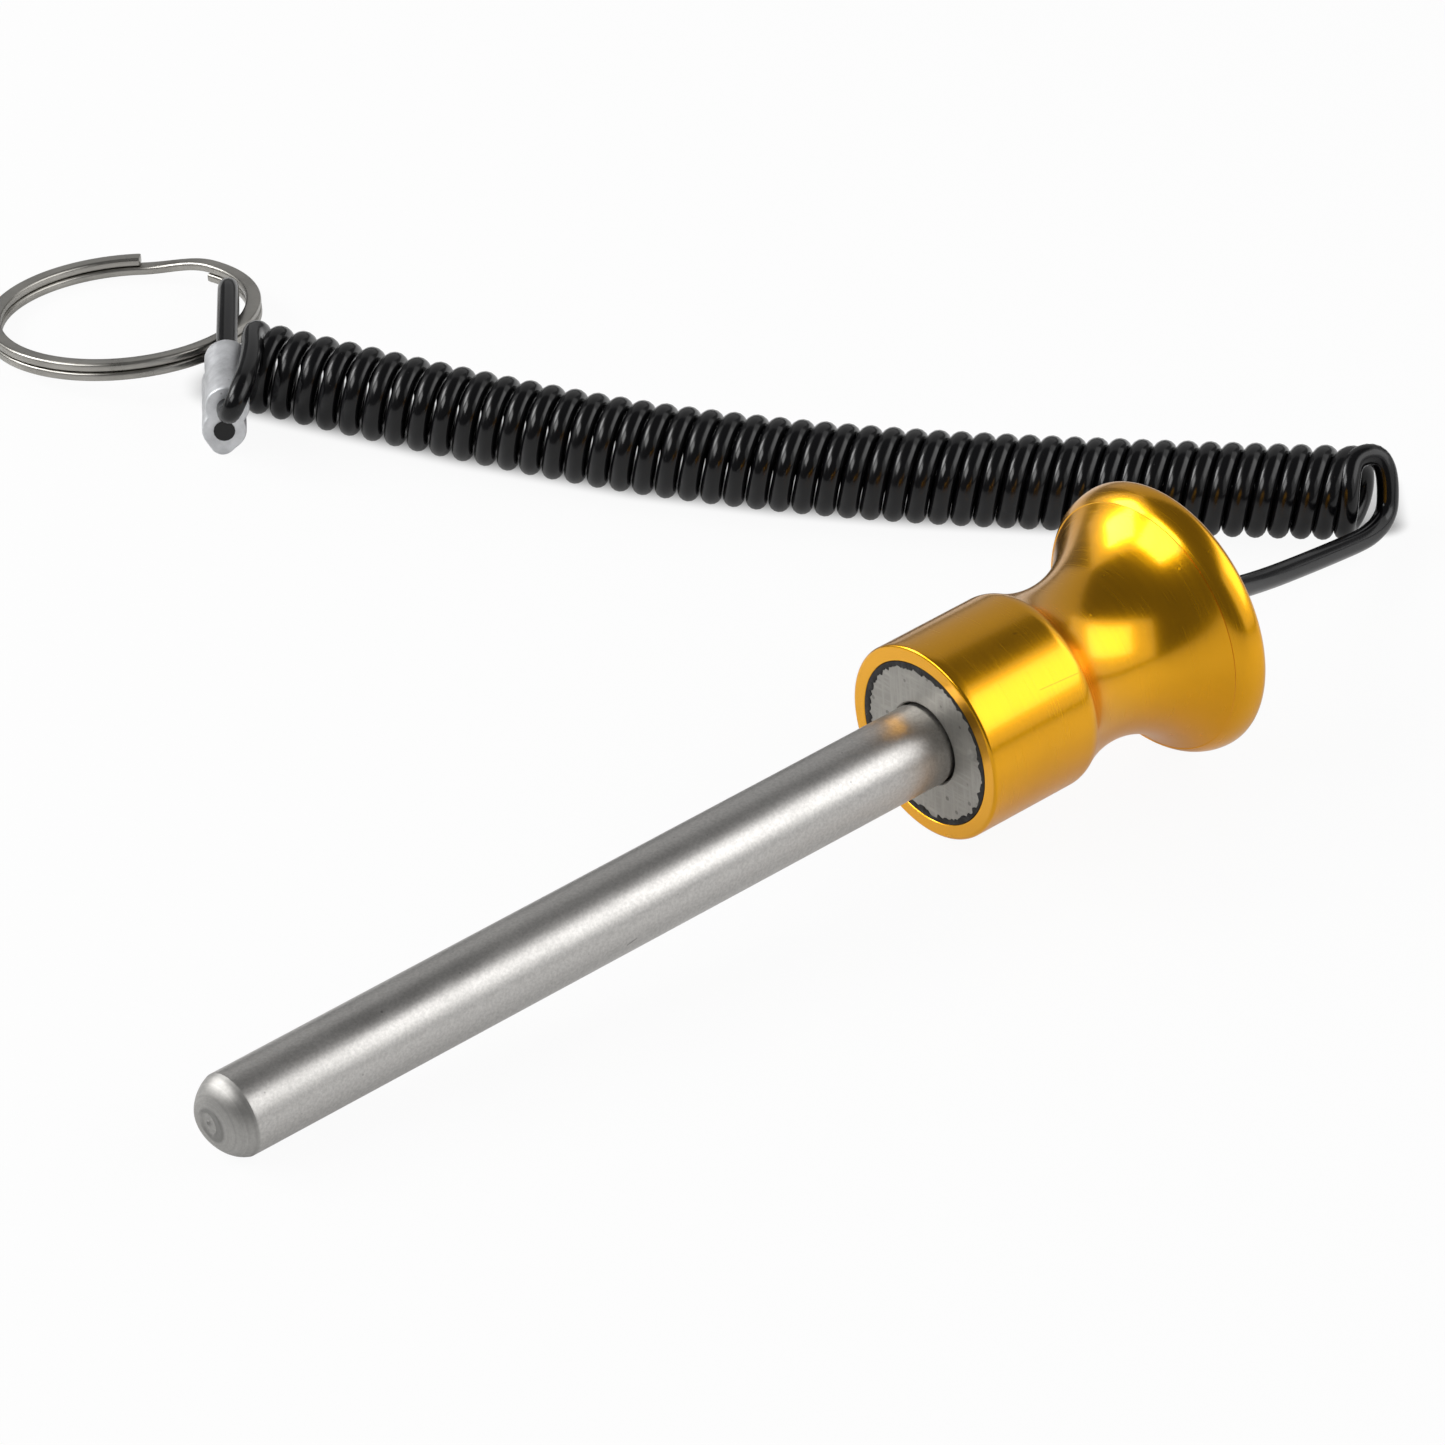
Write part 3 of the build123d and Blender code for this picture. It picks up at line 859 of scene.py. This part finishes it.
class STACKPIN_OT_handle(bpy.types.Operator):
    """Turns the handle"""

    bl_idname = "stackpin.handle"
    bl_label = "Handle"

    def execute(self, context):
        settings = context.scene.stackpin_handle
        body, neck, rim = settings.body_radius / MM, settings.neck_radius / MM, settings.rim_radius / MM
        neck_mid, curve_r, bead, step = HANDLE_FRONT + 23.1, 14.6, 1.3, 0.12
        seat = SEAT_R + 0.01
        neck_end = HANDLE_END - 4.3
        centre_r = neck + curve_r
        shoulder = neck_mid - math.sqrt(curve_r**2 - (centre_r - body) ** 2)
        # The neck is one arc: at a distance x from its middle the radius is centre_r - sqrt(curve_r^2 - x^2).
        x = np.linspace(shoulder + 0.75, neck_end, 46)
        neck_curve = np.stack([x, centre_r - np.sqrt(curve_r**2 - (x - neck_mid) ** 2)], axis=1)
        # The shoulder's corner is cut by a parabola between the body and the neck.
        share = np.linspace(0, 1, 9)[:, None]
        corner, before = np.array([shoulder, body]), np.array([shoulder - 0.8, body])
        shoulder_curve = (1 - share) ** 2 * before + 2 * share * (1 - share) * corner
        shoulder_curve += share**2 * neck_curve[0]
        # The lip is the arc that starts on the step at the neck's end and is level where the bead begins.
        bead_at = HANDLE_END - bead
        run, drop = bead_at - neck_end, rim - neck_curve[-1, 1] - step
        lip_r = (run**2 + drop**2) / (2 * drop)
        lip = arc((bead_at, rim - lip_r), lip_r, 90 + math.degrees(math.asin(run / lip_r)), 90, 14)
        profile = np.concatenate(
            [
                [[SEAT_END, SPIGOT_R], [SEAT_END, seat]],
                [[HANDLE_FRONT + 0.12, seat], [HANDLE_FRONT, seat + 0.12]],
                straight((HANDLE_FRONT, 10.6), (HANDLE_FRONT, body - 0.45), 4),
                arc((HANDLE_FRONT + 0.4, body - 0.4), 0.4, 180, 90, 7),
                straight((HANDLE_FRONT + 1.2, body), (shoulder - 1.4, body), 12),
                shoulder_curve,
                neck_curve[1:],
                lip,
                arc((bead_at, rim - bead), bead, 90, 0, 12)[1:],
                straight((HANDLE_END, rim - bead - 0.6), (HANDLE_END, 1.75), 12),
                [[HANDLE_END - 0.08, 1.5], [HANDLE_END - 0.3, CORD_HOLE_R]],
                [[HANDLE_END - CORD_HOLE_DEPTH, CORD_HOLE_R], [HANDLE_END - CORD_HOLE_DEPTH, 0.0]],
            ]
        )
        mesh = grid_mesh("grip", turned_points(profile, settings.segments), False, True)
        mesh.materials.append(gold_anodised(context.scene.stackpin_finish))
        add_piece("grip", ROOT_BODY, ["handle"], mesh)
        return {"FINISHED"}


class STACKPIN_OT_shank(bpy.types.Operator):
    """Turns the shank with its rounded nose"""

    bl_idname = "stackpin.shank"
    bl_label = "Shank"

    def execute(self, context):
        # The nose is the circle through the flat's edge, a point between and the wall's edge.
        a, b, c = np.array([0.0, 2.4]), np.array([1.35, 4.3]), np.array([NOSE_LENGTH, SHANK_R])
        d = 2 * (a[0] * (b[1] - c[1]) + b[0] * (c[1] - a[1]) + c[0] * (a[1] - b[1]))
        cx = (a @ a * (b[1] - c[1]) + b @ b * (c[1] - a[1]) + c @ c * (a[1] - b[1])) / d
        cy = (a @ a * (c[0] - b[0]) + b @ b * (a[0] - c[0]) + c @ c * (b[0] - a[0])) / d
        first = math.degrees(math.atan2(a[1] - cy, a[0] - cx))
        final = math.degrees(math.atan2(c[1] - cy, c[0] - cx))
        profile = np.concatenate(
            [
                [[0.05, 0.0], [0.06, 0.2], [0.2, 0.35], [0.26, 0.8]],
                [[0.22, 1.2], [0.06, 1.45], [0.0, 1.6], [0.0, 2.1]],
                arc((cx, cy), math.hypot(a[0] - cx, a[1] - cy), first, final, 14),
                straight((NOSE_LENGTH + 0.08, SHANK_R), (WALL_END - 0.15, SHANK_R), 60),
                [[WALL_END - 0.05, SHANK_R - 0.03], [WALL_END, SHANK_R - 0.1], [WALL_END, SPIGOT_R]],
                straight((WALL_END + 0.1, SPIGOT_R), (SPIGOT_END, SPIGOT_R), 6),
                [[SPIGOT_END, 0.0]],
            ]
        )
        points = turned_points(profile, context.scene.stackpin_handle.segments)
        # The dimple in the tip lies off the middle: points shift aside by a share that falls
        # to none at the wall.
        share = np.clip(1 - profile[:, 0] / NOSE_LENGTH, 0, 1) * np.clip((4.9 - profile[:, 1]) / 2.8, 0, 1)
        points += share[:, None, None] * (0.85 * ASIDE - 0.16 * OVER)
        mesh = grid_mesh("bar", points, False, True, sharp=14.0)
        mesh.materials.append(satin_steel(context.scene.stackpin_finish))
        add_piece("bar", ROOT_BODY, ["shank"], mesh)
        return {"FINISHED"}


class STACKPIN_OT_magnet(bpy.types.Operator):
    """Makes the ring magnet and the ragged glue round it"""

    bl_idname = "stackpin.magnet"
    bl_label = "Magnet and glue"

    def execute(self, context):
        front = HANDLE_FRONT
        profile = np.concatenate(
            [
                [[SEAT_END, MAGNET_BORE_R], [front + 0.2, MAGNET_BORE_R]],
                straight((front, MAGNET_BORE_R + 0.2), (front, MAGNET_R - 0.12), 48),
                [[front + 0.05, MAGNET_R - 0.04], [front + 0.2, MAGNET_R], [SEAT_END, MAGNET_R]],
            ]
        )
        points = turned_points(profile, 288)
        # The chip is a dent whose depth falls off from its middle, broken up by waves across it.
        away = np.linalg.norm(points - np.array([31.46, -8.36, 15.88]), axis=2)
        broken = 0.75 + 0.25 * np.sin(points[..., 1] * 9.0) * np.cos(points[..., 2] * 7.0)
        depth = 0.35 * np.clip(1.15 - away / 0.75, 0, 1) * broken
        mesh = grid_mesh("magnet", points + depth[..., None] * ALONG, True, True)
        mesh.materials.append(magnet_grey(context.scene.stackpin_finish))
        add_piece("magnet", ROOT_BODY, ["ring_magnet"], mesh)

        # The glue's inner edge is a circle less a sum of broken lines through fixed random knots.
        many = 720
        draw = np.random.default_rng(7)
        jag = np.zeros(many)
        for knots, size in ((5, 0.05), (11, 0.07), (23, 0.08), (47, 0.09), (90, 0.09), (170, 0.07)):
            heights = draw.random(knots)
            at = np.arange(many) * knots / many
            jag += size * np.interp(at, np.arange(knots + 1), np.append(heights, heights[0]))
        angle = np.linspace(0, 2 * math.pi, many, endpoint=False)
        lopsided = 0.22 * (1 + np.cos(angle - math.radians(150)))
        width = 0.12 + lopsided + 6.0 * np.clip(jag - 0.16, 0, None)
        inner = SEAT_R - width
        lift = 0.03 + 0.04 * draw.random(many)
        flat = np.ones(many)
        distance = [0.5 * flat, 0.01 * flat, -lift, -0.8 * lift, 0.02 * flat, 0.5 * flat]
        distance = front + np.stack(distance)
        outer = SEAT_R * flat
        radius = np.stack([inner, inner, inner + 0.05 * width, outer - 0.5 * width, outer, outer])
        spoke = np.cos(angle)[:, None] * OVER + np.sin(angle)[:, None] * ASIDE
        points = TIP + distance[..., None] * ALONG + radius[..., None] * spoke[None]
        mesh = grid_mesh("glue", points, True, True, sharp=60.0)
        mesh.materials.append(black_glue(context.scene.stackpin_finish))
        add_piece("glue", ROOT_BODY, ["adhesive_ring"], mesh)
        return {"FINISHED"}


class STACKPIN_OT_stage(bpy.types.Operator):
    """Sets the floor, lights, background and camera"""

    bl_idname = "stackpin.stage"
    bl_label = "Stage"

    def execute(self, context):
        scene = context.scene
        data = bpy.data.cameras.new("camera")
        data.sensor_width = 36.0
        data.lens = 191.83
        data.clip_start = 0.05
        data.clip_end = 10.0
        camera = bpy.data.objects.new("camera", data)
        scene.collection.objects.link(camera)
        forward = Vector((0.56597, 0.65889, -0.49552)).normalized()
        right = Vector((0.758569, -0.651593, 0.0)).normalized()
        above = right.cross(forward)
        turn = Matrix((right, above, -forward)).transposed()
        camera.matrix_world = Matrix.Translation(Vector((-0.485591, -0.566658, 0.453950))) @ turn.to_4x4()
        scene.camera = camera
        scene.view_settings.view_transform = "Standard"

        floor_mesh = bpy.data.meshes.new("floor")
        floor_mesh.from_pydata([(-3, -3, 0), (3, -3, 0), (3, 3, 0), (-3, 3, 0)], [], [(0, 1, 2, 3)])
        floor = bpy.data.objects.new("floor", floor_mesh)
        scene.collection.objects.link(floor)
        material = bpy.data.materials.new("floor")
        material.use_nodes = True
        tree = material.node_tree
        shader = tree.nodes["Principled BSDF"]
        shader.inputs["Base Color"].default_value = (0.8, 0.8, 0.8, 1)
        shader.inputs["Roughness"].default_value = 0.35
        white = tree.nodes.new("ShaderNodeEmission")
        white.inputs["Color"].default_value = (1, 1, 1, 1)
        white.inputs["Strength"].default_value = 1.0
        rays = tree.nodes.new("ShaderNodeLightPath")
        glossy = maths(tree, "MULTIPLY", rays.outputs["Is Glossy Ray"], 0.25)
        seen = maths(tree, "MAXIMUM", rays.outputs["Is Camera Ray"], rays.outputs["Is Transmission Ray"])
        seen = maths(tree, "MAXIMUM", maths(tree, "MULTIPLY", seen, 0.94), glossy)
        # Under and just behind the coil the floor drops its white glow and shows its real shading, so this
        # patch is partly real shade and partly painted shade: a mask by the distance to lines beside the
        # coil's middle line, and to one behind its open end.
        line = spline_points(COIL_ROUTE, 8) * (1, 1, 0) + (3.9, 4.6, 0)
        stops = line[np.linspace(0, len(line) - 1, 7).astype(int)]
        place = tree.nodes.new("ShaderNodeTexCoord").outputs["Object"]
        shades = [(a, b, 9.5) for a, b in zip(stops[:-2], stops[1:-1])]
        shades += [(stops[-2], stops[-1] - (2.5, -3.2, 0), 6.5), ((127.5, 21.8, 0), (134.0, 29.4, 0), 4.4)]
        painted_coil_shade = marks(tree, place, shades)
        open_share = maths(tree, "SUBTRACT", 1.0, painted_coil_shade)
        mixed = tree.nodes.new("ShaderNodeMixShader")
        feed(tree, maths(tree, "MULTIPLY", seen, open_share), mixed.inputs[0])
        feed(tree, shader.outputs["BSDF"], mixed.inputs[1])
        feed(tree, white.outputs["Emission"], mixed.inputs[2])
        feed(tree, mixed.outputs["Shader"], tree.nodes["Material Output"].inputs["Surface"])
        floor_mesh.materials.append(material)

        world = bpy.data.worlds.new("world")
        scene.world = world
        world.use_nodes = True
        world.node_tree.nodes["Background"].inputs["Color"].default_value = (1, 1, 1, 1)
        world.node_tree.nodes["Background"].inputs["Strength"].default_value = 0.13
        aim = Vector((0.03, 0.05, 0.01))
        for name, way, distance, size, size_y, power in (
            ("front_wide", (0.60, -0.62, 0.50), 0.80, 1.50, 0.80, 3.0),
            ("front_core", (0.586, -0.586, 0.559), 0.75, 0.62, 0.42, 1.35),
            ("back_wide", (-0.42, 0.73, 0.54), 0.85, 0.95, 0.75, 1.6),
            ("back_core", (-0.42, 0.71, 0.57), 0.80, 0.34, 0.30, 2.4),
            ("left_core", (-0.74, 0.20, 0.66), 0.80, 0.40, 0.30, 2.0),
            ("rear_fill", (0.64, 0.56, 0.52), 0.90, 0.90, 0.80, 0.7),
        ):
            light = bpy.data.lights.new(name, "AREA")
            light.shape = "RECTANGLE"
            light.size = size
            light.size_y = size_y
            light.energy = power
            lamp = bpy.data.objects.new(name, light)
            scene.collection.objects.link(lamp)
            lamp.location = aim + Vector(way).normalized() * distance
            lamp.rotation_euler = (aim - lamp.location).to_track_quat("-Z", "Y").to_euler()
        return {"FINISHED"}


OPERATORS = (
    STACKPIN_OT_stage,
    STACKPIN_OT_sleeve,
    STACKPIN_OT_ring,
    STACKPIN_OT_cord,
    STACKPIN_OT_handle,
    STACKPIN_OT_shank,
    STACKPIN_OT_magnet,
)


class STACKPIN_PT_panel(bpy.types.Panel):
    """Lists the pieces and their sizes"""

    bl_idname = "STACKPIN_PT_panel"
    bl_label = "Weight Stack Pin"
    bl_space_type = "VIEW_3D"
    bl_region_type = "UI"
    bl_category = "Stack Pin"

    def draw(self, context):
        for title, settings in (
            ("Cord", context.scene.stackpin_cord),
            ("Handle", context.scene.stackpin_handle),
            ("Finish", context.scene.stackpin_finish),
        ):
            box = self.layout.box()
            box.label(text=title)
            for name in settings.bl_rna.properties.keys():
                if name not in ("rna_type", "name"):
                    box.prop(settings, name)
        for operator in OPERATORS:
            self.layout.operator(operator.bl_idname)


CLASSES = (STACKPIN_PG_cord, STACKPIN_PG_finish, STACKPIN_PG_handle) + OPERATORS + (STACKPIN_PT_panel,)


def register():
    for cls in CLASSES:
        bpy.utils.register_class(cls)
    bpy.types.Scene.stackpin_cord = bpy.props.PointerProperty(type=STACKPIN_PG_cord)
    bpy.types.Scene.stackpin_finish = bpy.props.PointerProperty(type=STACKPIN_PG_finish)
    bpy.types.Scene.stackpin_handle = bpy.props.PointerProperty(type=STACKPIN_PG_handle)


def unregister():
    del bpy.types.Scene.stackpin_handle
    del bpy.types.Scene.stackpin_finish
    del bpy.types.Scene.stackpin_cord
    for cls in reversed(CLASSES):
        bpy.utils.unregister_class(cls)


def main():
    register()
    bpy.ops.stackpin.stage()
    bpy.ops.stackpin.sleeve()
    bpy.ops.stackpin.ring()
    bpy.ops.stackpin.cord()
    bpy.ops.stackpin.handle()
    bpy.ops.stackpin.shank()
    bpy.ops.stackpin.magnet()


if __name__ == "__main__":
    main()
